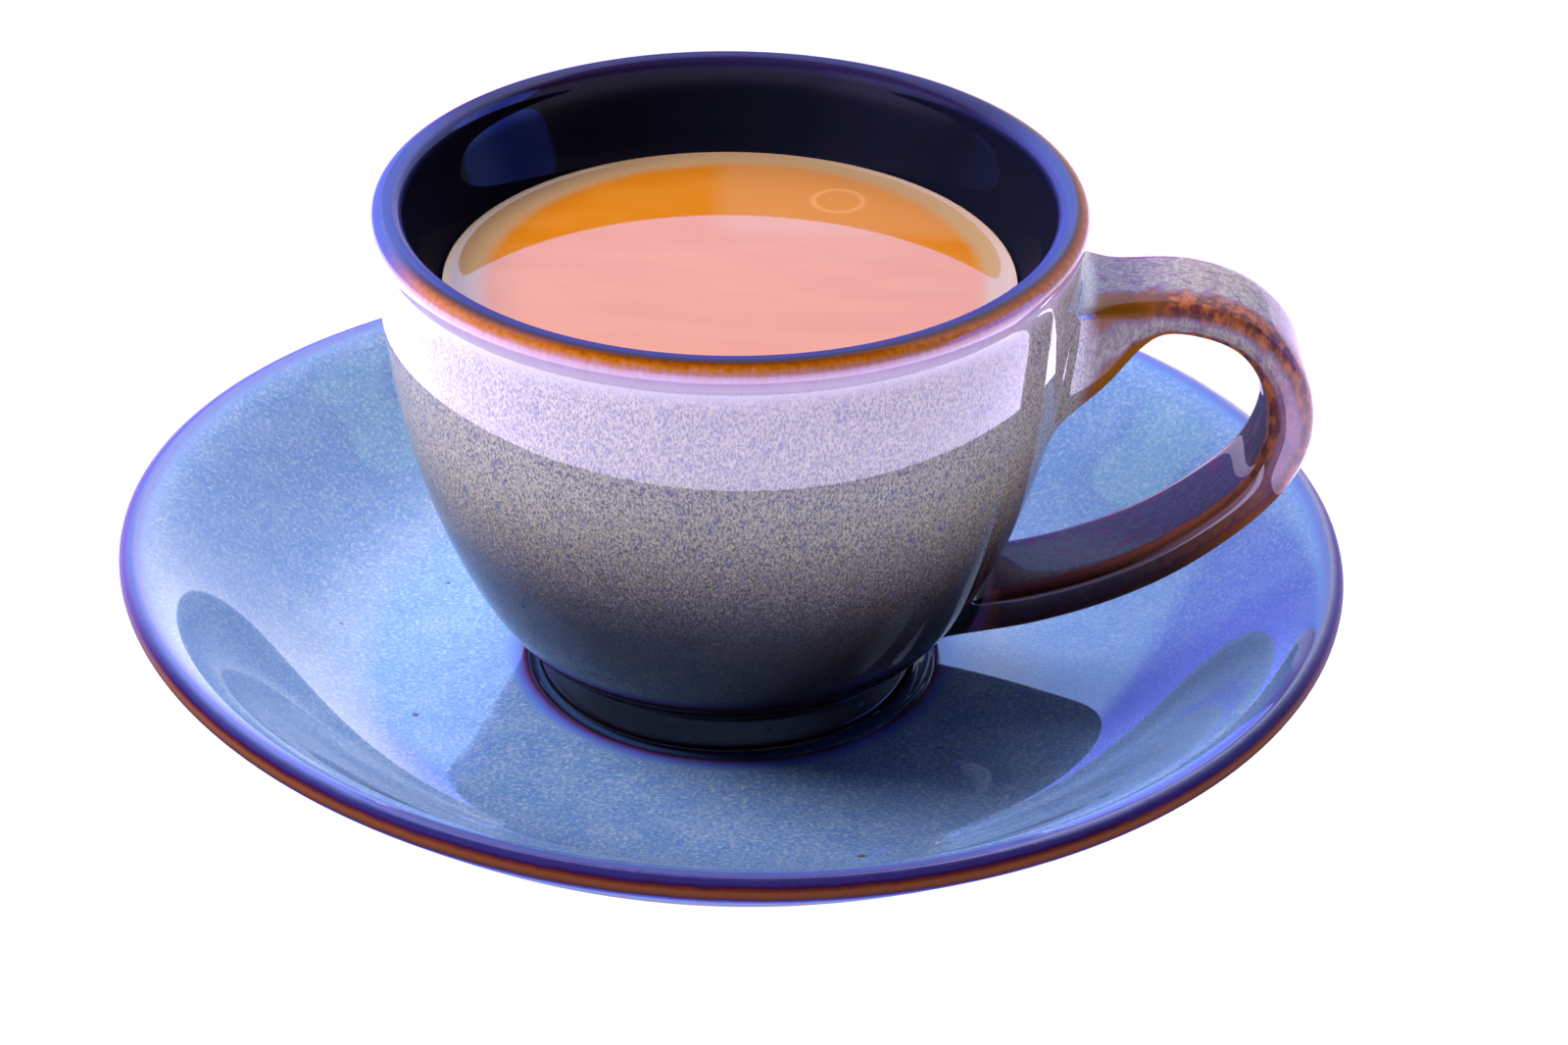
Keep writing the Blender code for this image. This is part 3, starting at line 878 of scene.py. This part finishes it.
def run_colours(wiring, value, stops):
    """Colours along a value in millimetres, even beyond the first and last stop."""
    low = stops[0][0]
    length = stops[-1][0] - low
    share = wiring.math("DIVIDE", wiring.math("SUBTRACT", value, low), length, clamp=True)
    return wiring.ramp(share, [((place - low) / length, colour) for place, colour in stops])


def attribute(wiring, name):
    return wiring.put("ShaderNodeAttribute", attribute_name=name).outputs["Fac"]


def marked(wiring, name, low, high):
    """A mask from one of the marks that the modelling left on the piece's corners."""
    return wiring.step(attribute(wiring, name), low, high)


def placed_group(wiring, group, **inputs):
    made = wiring.put("ShaderNodeGroup", node_tree=group)
    for name, value in inputs.items():
        wiring.feed(made.inputs[name], value)
    return made.outputs


def uneven(wiring, value, place, scale, amount):
    """A value pushed up and down by noise, so that a colour's edge runs unevenly."""
    wobble = wiring.math("SUBTRACT", wiring.noise(place, scale, detail=4.0, roughness=0.6), 0.5)
    return wiring.math("MULTIPLY_ADD", wobble, amount, value)


def glaze_skin(wiring, shader, place):
    """The slight waviness of a fired glaze."""
    wave = wiring.noise(place, 160.0)
    bump = wiring.put("ShaderNodeBump")
    bump.inputs["Strength"].default_value = 0.5
    bump.inputs["Distance"].default_value = GLAZE_WAVE
    wiring.feed(bump.inputs["Height"], wave)
    wiring.feed(shader.inputs["Normal"], bump.outputs[0])


def kiln_specks(wiring, pit, place, colour, specks):
    """Small iron spots and pinholes, each at its own place on the piece."""
    for middle, width, tint in specks:
        middle = tuple(value * MM for value in middle)
        spot = placed_group(wiring, pit, Place=place, Middle=middle, Width=width * MM)
        colour = wiring.tint(colour, spot["Mask"], tint)
    return colour


def pit_group():
    """One small spot with an uneven edge, at a place on the piece."""
    group, wiring, given, result = new_group(
        "kiln_speck",
        (("Place", "vector"), ("Middle", "vector"), ("Width", "float")),
        (("Mask", "float"),),
    )
    place = given.outputs["Place"]
    ends = {0: place, 1: given.outputs["Middle"]}
    away = wiring.put("ShaderNodeVectorMath", ends, operation="DISTANCE")
    share = wiring.math("DIVIDE", away.outputs["Value"], given.outputs["Width"])
    share = uneven(wiring, share, place, 2500.0, 1.2)
    wiring.feed(result.inputs["Mask"], wiring.step(share, 1.2, 0.5))
    return group


def saucer_glaze(groups):
    """Speckled pale blue, deeper at the well's step with painted shade on its inner side and
    beside the cup's foot, and rusty where it breaks at the lip.
    """
    material, wiring, shader = glaze_material("saucer_blue_glaze")
    place = wiring.put("ShaderNodeTexCoord").outputs["Object"]
    spots = placed_group(wiring, groups["speckle"], Place=place, Grain=1900.0, Mottle=170.0)
    where = placed_group(wiring, groups["axis"], Place=place, Shift=0.0)
    body = wiring.mix(spots["Mottling"], (0.17, 0.30, 0.57), (0.25, 0.375, 0.62))
    body = wiring.tint(body, spots["Crystals"], (0.07, 0.18, 0.56), 0.6)
    body = wiring.tint(body, spots["Flecks"], (0.44, 0.50, 0.66), 0.6)
    radius = uneven(wiring, where["Radius"], place, 150.0, 2.0)
    sharper = uneven(wiring, where["Radius"], place, 700.0, 0.5)
    # The innermost rows of this ramp are painted shade; the rusty and violet rows are the glaze
    # breaking over the step.
    well = run_colours(wiring, sharper, SAUCER_WELL_COLOURS_AND_SHADE)
    body = wiring.tint(body, wiring.step(radius, 30.6, 29.0), well)
    run = uneven(wiring, attribute(wiring, "run"), place, 500.0, 0.5)
    body = wiring.tint(body, wiring.step(run, -3.2, -1.2), (0.085, 0.17, 0.66), 0.5)
    lip = run_colours(wiring, run, SAUCER_LIP_COLOURS)
    y = wiring.axes(place)["Y"]
    behind = wiring.step(y, -45.0 * MM, -10.0 * MM)
    behind = wiring.times(behind, wiring.step(run, 0.0, 0.8))
    lip = wiring.tint(lip, behind, (0.16, 0.12, 0.46), 0.8)
    underside = wiring.step(run, 12.0, 4.0)
    lip_mask = wiring.times(wiring.step(run, -1.8, -1.2), underside)
    body = wiring.tint(body, lip_mask, lip)
    body = kiln_specks(wiring, groups["pit"], place, body, SAUCER_SPECKS)
    wiring.feed(shader.inputs["Base Color"], body)
    thin = wiring.times(wiring.step(run, 0.0, 1.2), underside)
    wiring.feed(shader.inputs["Coat Weight"], wiring.between(thin, 1.0, 0.07))
    glaze_skin(wiring, shader, place)
    return material


def strap_colours(wiring, runs, body):
    """The handle's glaze: rusty where it breaks over the edges, with painted shade on the inner
    face and under the lower limb.
    """
    reach = attribute(wiring, "reach")
    lower = wiring.step(reach, 0.50, 0.66)
    strap = marked(wiring, "strap", 0.3, 1.0)
    grains = wiring.step(wiring.noise(runs, 1500.0, detail=3.0, roughness=0.6), 0.42, 0.62)
    shade = wiring.mix(grains, (0.20, 0.145, 0.18), (0.44, 0.35, 0.37))
    body = wiring.tint(body, strap, shade, 0.65)
    bend = wiring.times(wiring.step(reach, 0.28, 0.40), wiring.step(reach, 0.66, 0.52))
    body = wiring.tint(body, bend, (0.38, 0.125, 0.28), 0.8)
    # Painted shade: the strap's inner face, turned towards the cup, is darkened.
    hollow = marked(wiring, "hollow", 0.2, 0.8)
    body = wiring.tint(body, hollow, (0.040, 0.038, 0.085), 0.8)
    outer = marked(wiring, "outer", 0.1, 0.6)
    under = wiring.times(wiring.math("SUBTRACT", 1.0, hollow), lower)
    further = wiring.step(reach, 0.64, 0.84)
    tail = wiring.mix(further, (0.36, 0.085, 0.014), (0.095, 0.020, 0.012))
    body = wiring.tint(body, under, tail, 0.9)
    # Painted shade: the outer face of the lower limb, which faces down towards the saucer, is
    # darkened almost to black.
    dark = wiring.times(outer, wiring.step(reach, 0.58, 0.70))
    body = wiring.tint(body, dark, (0.014, 0.010, 0.016), 0.85)
    ridge = uneven(wiring, attribute(wiring, "ridge"), runs, 520.0, 0.9)
    patches = wiring.step(wiring.noise(runs, 900.0, detail=3.0, roughness=0.6), 0.38, 0.66)
    rust = wiring.mix(patches, (0.13, 0.032, 0.03), (0.52, 0.14, 0.03))
    rust = wiring.mix(lower, rust, tail)
    fringe = wiring.mix(lower, (0.22, 0.11, 0.26), (0.12, 0.03, 0.09))
    edge = wiring.times(wiring.step(ridge, 0.0, 0.14), strap)
    body = wiring.tint(body, edge, fringe, 0.8)
    core = wiring.times(wiring.step(ridge, 0.10, 0.34), strap)
    body = wiring.tint(body, core, rust, 0.92)
    root = wiring.times(wiring.step(reach, 0.17, 0.11), strap)
    golden = wiring.times(wiring.step(ridge, 0.10, 0.45), root)
    return wiring.tint(body, golden, (0.30, 0.10, 0.008))


def cup_bowl_colours(wiring, groups, place, runs):
    """The bowl's glaze: darker towards the foot, partly its own colour and partly painted
    shade, pale and speckled higher up, with a bare foot.
    """
    spots = placed_group(wiring, groups["speckle"], Place=runs, Grain=4000.0, Mottle=1100.0)
    where = placed_group(wiring, groups["axis"], Place=place, Shift=CUP_SHIFT)
    height = uneven(wiring, where["Height"], runs, 300.0, 4.0)
    # Both ramps darken towards the foot, partly as painted shade.
    outside = run_colours(wiring, height, CUP_BODY_COLOURS_AND_SHADE)
    crystals = run_colours(wiring, height, CUP_CRYSTAL_COLOURS_AND_SHADE)
    body = wiring.tint(outside, spots["Crystals"], crystals, 0.8)
    lit = wiring.step(where["Height"], 24.0, 46.0)
    tan = wiring.times(spots["Flecks"], lit)
    body = wiring.tint(body, tan, (0.72, 0.58, 0.47), 0.55)
    blue = wiring.times(wiring.step(spots["Mottling"], 0.80, 1.0), lit)
    body = wiring.tint(body, blue, (0.09, 0.10, 0.34), 0.45)
    clay = wiring.step(uneven(wiring, where["Height"], place, 300.0, 0.4), 5.3, 5.0)
    return wiring.tint(body, clay, (0.22, 0.15, 0.10))


def cup_lip_colours(wiring, place, run, body):
    """Over the lip: navy inside, then rust, a gold line and pink drips down the outside, with a
    painted reflection making the crest bluer at the sides.
    """
    streaks = wiring.placed(place, scale=(1.0, 1.0, 0.25))
    drips = wiring.math("SUBTRACT", uneven(wiring, run, streaks, 1300.0, 1.8), run)
    drips = wiring.times(drips, wiring.between(wiring.step(run, 0.8, 2.0), 0.15, 1.0))
    ragged = wiring.math("ADD", run, drips)
    lip = run_colours(wiring, ragged, CUP_LIP_COLOURS_AND_SHEEN)
    plain = marked(wiring, "strap", 0.15, 0.02)
    body = wiring.tint(body, wiring.times(wiring.step(ragged, 9.0, 4.5), plain), lip)
    x, y, _ = wiring.axes(place)
    # Painted reflection: the crest is a brighter blue at the left and right sides, where it
    # mirrors the bluish sky.
    sheen_sides = wiring.step(wiring.math("ABSOLUTE", x), 30.0 * MM, 42.0 * MM)
    crest = wiring.times(wiring.step(ragged, -2.4, -1.9), wiring.step(ragged, 0.8, 0.2))
    crest = wiring.times(crest, plain)
    body = wiring.tint(body, wiring.times(sheen_sides, crest), (0.052, 0.062, 0.28))
    # At the back the crest is darker, without that painted reflection.
    behind = wiring.times(crest, wiring.step(y, 14.0 * MM, 30.0 * MM))
    body = wiring.tint(body, behind, (0.022, 0.012, 0.050), 0.8)
    far_side = wiring.step(x, -36.0 * MM, -44.0 * MM)
    over_lip = wiring.times(wiring.step(run, 0.2, 0.8), wiring.step(run, 3.6, 2.6))
    return wiring.tint(body, wiring.times(far_side, over_lip), (0.08, 0.10, 0.40))


def cup_gloss(wiring, run):
    """How strongly the cup mirrors: less at the lip, inside, and on parts of the strap."""
    gloss = wiring.between(wiring.step(run, 1.0, 4.0), 0.28, 1.0)
    gloss = wiring.times(gloss, wiring.between(wiring.step(run, -6.0, -3.0), 0.22, 1.0))
    strap = marked(wiring, "strap", 0.3, 1.0)
    upper = wiring.times(strap, marked(wiring, "reach", 0.45, 0.30))
    gloss = wiring.times(gloss, wiring.between(upper, 1.0, 0.3))
    hollow = marked(wiring, "hollow", 0.2, 0.8)
    return wiring.times(gloss, wiring.between(hollow, 1.0, 0.2))


def cup_glaze(groups):
    material, wiring, shader = glaze_material("cup_taupe_glaze")
    place = wiring.put("ShaderNodeTexCoord").outputs["Object"]
    runs = wiring.placed(place, scale=(1.0, 1.0, 0.5))
    body = cup_bowl_colours(wiring, groups, place, runs)
    body = strap_colours(wiring, runs, body)
    run = wiring.times(attribute(wiring, "run"), -1.0)
    body = cup_lip_colours(wiring, place, run, body)
    wiring.feed(shader.inputs["Base Color"], body)
    wiring.feed(shader.inputs["Coat Weight"], cup_gloss(wiring, run))
    glaze_skin(wiring, shader, place)
    return material


def tea_material():
    """Amber tea with faint streaks, a paler painted reflection at the back right, a bubble's
    ring and a paler margin by the wall.
    """
    material = bpy.data.materials.new("milky_tea_surface")
    material.use_nodes = True
    wiring = Wiring(material.node_tree)
    shader = material.node_tree.nodes["Principled BSDF"]
    shader.inputs["Roughness"].default_value = 0.03
    shader.inputs["IOR"].default_value = 1.34
    place = wiring.put("ShaderNodeTexCoord").outputs["Object"]
    streaks = wiring.noise(wiring.placed(place, scale=(1.0, 3.0, 1.0)), 60.0, detail=3.0)
    streaks = wiring.step(streaks, 0.3, 0.7)
    colour = wiring.mix(streaks, (0.56, 0.170, 0.006), (0.59, 0.195, 0.018))
    x, y, _ = wiring.axes(place)
    # Painted reflection: the back right of the tea is paler, where it mirrors the lit part of
    # the cup's back inner wall.
    right = wiring.step(x, -5.0 * MM, 0.0)
    far = wiring.step(y, 11.0 * MM, 16.0 * MM)
    colour = wiring.tint(colour, wiring.times(right, far), (0.575, 0.22, 0.063))
    eddy = wiring.put("ShaderNodeVectorMath", {0: place, 1: SWIRL}, operation="DISTANCE")
    turn = wiring.math("DIVIDE", eddy.outputs["Value"], MM)
    ring = wiring.times(wiring.step(turn, 2.6, 3.2), wiring.step(turn, 4.0, 3.3))
    colour = wiring.tint(colour, ring, (0.72, 0.34, 0.14), 0.55)
    flattened = wiring.placed(place, scale=(1.06, 1.0, 0.0))
    oval = wiring.put("ShaderNodeVectorMath", {0: flattened}, operation="LENGTH")
    away = wiring.math("DIVIDE", oval.outputs["Value"], MM)
    margin = wiring.step(uneven(wiring, away, place, 90.0, 1.0), 32.6, 35.2)
    colour = wiring.tint(colour, margin, (0.49, 0.29, 0.16))
    wiring.feed(shader.inputs["Base Color"], colour)
    return material


def make_camera():
    """The photograph's view: a long lens, looking down at the cup from the front."""
    sight = bpy.data.cameras.new("photo_camera")
    sight.lens = CAMERA_LENS_MM
    sight.sensor_width = CAMERA_SENSOR_MM
    camera = bpy.data.objects.new("photo_camera", sight)
    bpy.context.scene.collection.objects.link(camera)
    place = Vector(CAMERA_PLACE)
    forward = (Vector(CAMERA_AIM) - place).normalized()
    right = forward.cross(Vector((0.0, 0.0, 1.0))).normalized()
    up = right.cross(forward)
    turned_right = right * math.cos(CAMERA_ROLL) + up * math.sin(CAMERA_ROLL)
    turned_up = up * math.cos(CAMERA_ROLL) - right * math.sin(CAMERA_ROLL)
    turn = Matrix((turned_right, turned_up, -forward)).transposed()
    around = Matrix.Rotation(CAMERA_TURN, 4, "Z")
    camera.matrix_world = around @ Matrix.Translation(place) @ turn.to_4x4()
    bpy.context.scene.camera = camera


def make_floor():
    """A white table. In mirror images it glows softly, and less near the saucer."""
    bpy.ops.object.select_all(action="DESELECT")
    bpy.ops.mesh.primitive_plane_add(size=TABLE_SIZE)
    floor = bpy.context.object
    floor.name = "white_table"
    material = bpy.data.materials.new("white_table")
    material.use_nodes = True
    wiring = Wiring(material.node_tree)
    shader = material.node_tree.nodes["Principled BSDF"]
    shader.inputs["Base Color"].default_value = TABLE_GREY
    shader.inputs["Roughness"].default_value = 1.0
    shader.inputs["Specular IOR Level"].default_value = 0.0
    shader.inputs["Emission Color"].default_value = (1.0, 1.0, 1.0, 1.0)
    shader.inputs["Emission Strength"].default_value = TABLE_SHINE
    ray = wiring.put("ShaderNodeLightPath")
    glow = wiring.put("ShaderNodeEmission")
    glow.inputs["Color"].default_value = TABLE_MIRRORED
    place = wiring.put("ShaderNodeTexCoord").outputs["Object"]
    away = wiring.put("ShaderNodeVectorMath", {0: place}, operation="LENGTH").outputs["Value"]
    strength = wiring.between(wiring.step(away, 0.08, 0.11), 0.5, 8.1)
    x, y, _ = wiring.axes(place)
    ahead = wiring.times(y, -1.0)
    near = wiring.between(wiring.step(ahead, 0.25, 0.9), 1.0, 0.45)
    side = wiring.between(wiring.step(x, 0.0, 0.15), 1.0, 0.8)
    strength = wiring.times(wiring.times(strength, near), side)
    wiring.feed(glow.inputs["Strength"], strength)
    white = wiring.put("ShaderNodeEmission")
    seen = wiring.put("ShaderNodeMixShader")
    wiring.feed(seen.inputs[0], wiring.times(ray.outputs["Is Camera Ray"], TABLE_SEEN_WHITE))
    wiring.feed(seen.inputs[1], shader.outputs[0])
    wiring.feed(seen.inputs[2], white.outputs[0])
    mirror = wiring.put("ShaderNodeMixShader")
    wiring.feed(mirror.inputs[0], ray.outputs["Is Glossy Ray"])
    wiring.feed(mirror.inputs[1], seen.outputs[0])
    wiring.feed(mirror.inputs[2], glow.outputs[0])
    output = material.node_tree.nodes["Material Output"]
    wiring.feed(output.inputs["Surface"], mirror.outputs[0])
    floor.data.materials.append(material)


def sky_patch(wiring, direction, aim, inner, outer):
    """1 within an angle of an aim in the sky, and 0 beyond a wider one, in degrees."""
    facing = wiring.put("ShaderNodeVectorMath", {0: direction, 1: aim}, operation="DOT_PRODUCT")
    edges = math.cos(math.radians(outer)), math.cos(math.radians(inner))
    return wiring.step(facing.outputs["Value"], *edges)


def mirrored_sky(wiring, direction):
    """What the glaze mirrors: a bright back wall, haze in front, and round lights."""
    x, y, z = wiring.axes(direction)
    back = wiring.step(y, -0.05, 0.25)
    under_roof = wiring.step(z, 0.91, 0.86)
    open_sky = wiring.times(back, under_roof)
    high = wiring.step(z, 0.33, 0.45)
    warm = wiring.mix(high, *SKY_WARM)
    cool = wiring.mix(high, *SKY_COOL)
    glow = wiring.mix(wiring.step(x, 0.02, 0.18), cool, warm)
    glow = wiring.mix(wiring.step(x, 0.25, 0.55), glow, SKY_RIGHT)
    ahead = wiring.times(wiring.step(y, 0.0, -0.3), wiring.step(z, 0.45, 0.10))
    haze = wiring.mix(ahead, BLACK, SKY_HAZE)
    glow = wiring.mix(open_sky, haze, glow)
    for aim, width in SKY_DISCS:
        rim = sky_patch(wiring, direction, aim, width + 0.6, width + 1.8)
        disc = sky_patch(wiring, direction, aim, width - 1.2, width + 0.4)
        glow = wiring.tint(glow, rim, BLACK, DISC_RIM_SHADE)
        glow = wiring.mix(disc, glow, DISC_GLOW, blend="ADD")
    for aim, inner, outer, light in SKY_PATCHES:
        patch = sky_patch(wiring, direction, aim, inner, outer)
        glow = wiring.mix(patch, glow, light, blend="ADD")
    return glow


def make_sky():
    """Soft daylight from a window at the back, and a studio that only mirrors show."""
    world = bpy.data.worlds.new("soft_studio")
    bpy.context.scene.world = world
    world.use_nodes = True
    tree = world.node_tree
    wiring = Wiring(tree)
    direction = wiring.put("ShaderNodeTexCoord").outputs["Generated"]
    soft = tree.nodes["Background"]
    soft.inputs["Color"].default_value = (0.97, 0.98, 1.0, 1.0)
    inputs = {0: direction, 1: WINDOW_AIM}
    window = wiring.put("ShaderNodeVectorMath", inputs, operation="DOT_PRODUCT")
    lit = wiring.step(window.outputs["Value"], 0.10, 0.50)
    wiring.feed(soft.inputs["Strength"], wiring.between(lit, 0.04, 1.04))
    bright = wiring.put("ShaderNodeBackground", {"Color": mirrored_sky(wiring, direction)})
    ray = wiring.put("ShaderNodeLightPath")
    mirror = wiring.put("ShaderNodeMixShader")
    wiring.feed(mirror.inputs[0], ray.outputs["Is Glossy Ray"])
    wiring.feed(mirror.inputs[1], soft.outputs[0])
    wiring.feed(mirror.inputs[2], bright.outputs[0])
    wiring.feed(tree.nodes["World Output"].inputs["Surface"], mirror.outputs[0])


def make_lamps():
    """Softboxes that light the pieces but don't show as discs in the glaze."""
    for name, place, size, power in LAMPS:
        lamp = bpy.data.lights.new(name, "AREA")
        lamp.shape = "DISK"
        lamp.size = size
        lamp.energy = power
        softbox = bpy.data.objects.new(name, lamp)
        bpy.context.scene.collection.objects.link(softbox)
        softbox.location = place
        softbox.rotation_euler = (-Vector(place)).to_track_quat("-Z", "Y").to_euler()
        softbox.visible_glossy = False


def dress(piece, material, node):
    """Gives a piece its material, hangs it under the frame's root and hides the solid it stands
    in for.
    """
    piece.data.materials.clear()
    piece.data.materials.append(material)
    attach(piece, "root")
    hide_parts(node)


def main():
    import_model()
    bpy.context.scene.view_settings.view_transform = "Standard"
    make_camera()
    make_floor()
    make_sky()
    make_lamps()
    groups = {"speckle": speckle_group(), "axis": axis_group(), "pit": pit_group()}
    dress(make_saucer(), saucer_glaze(groups), "saucer")
    dress(make_cup(), cup_glaze(groups), "cup")
    dress(make_tea(), tea_material(), "tea")


main()
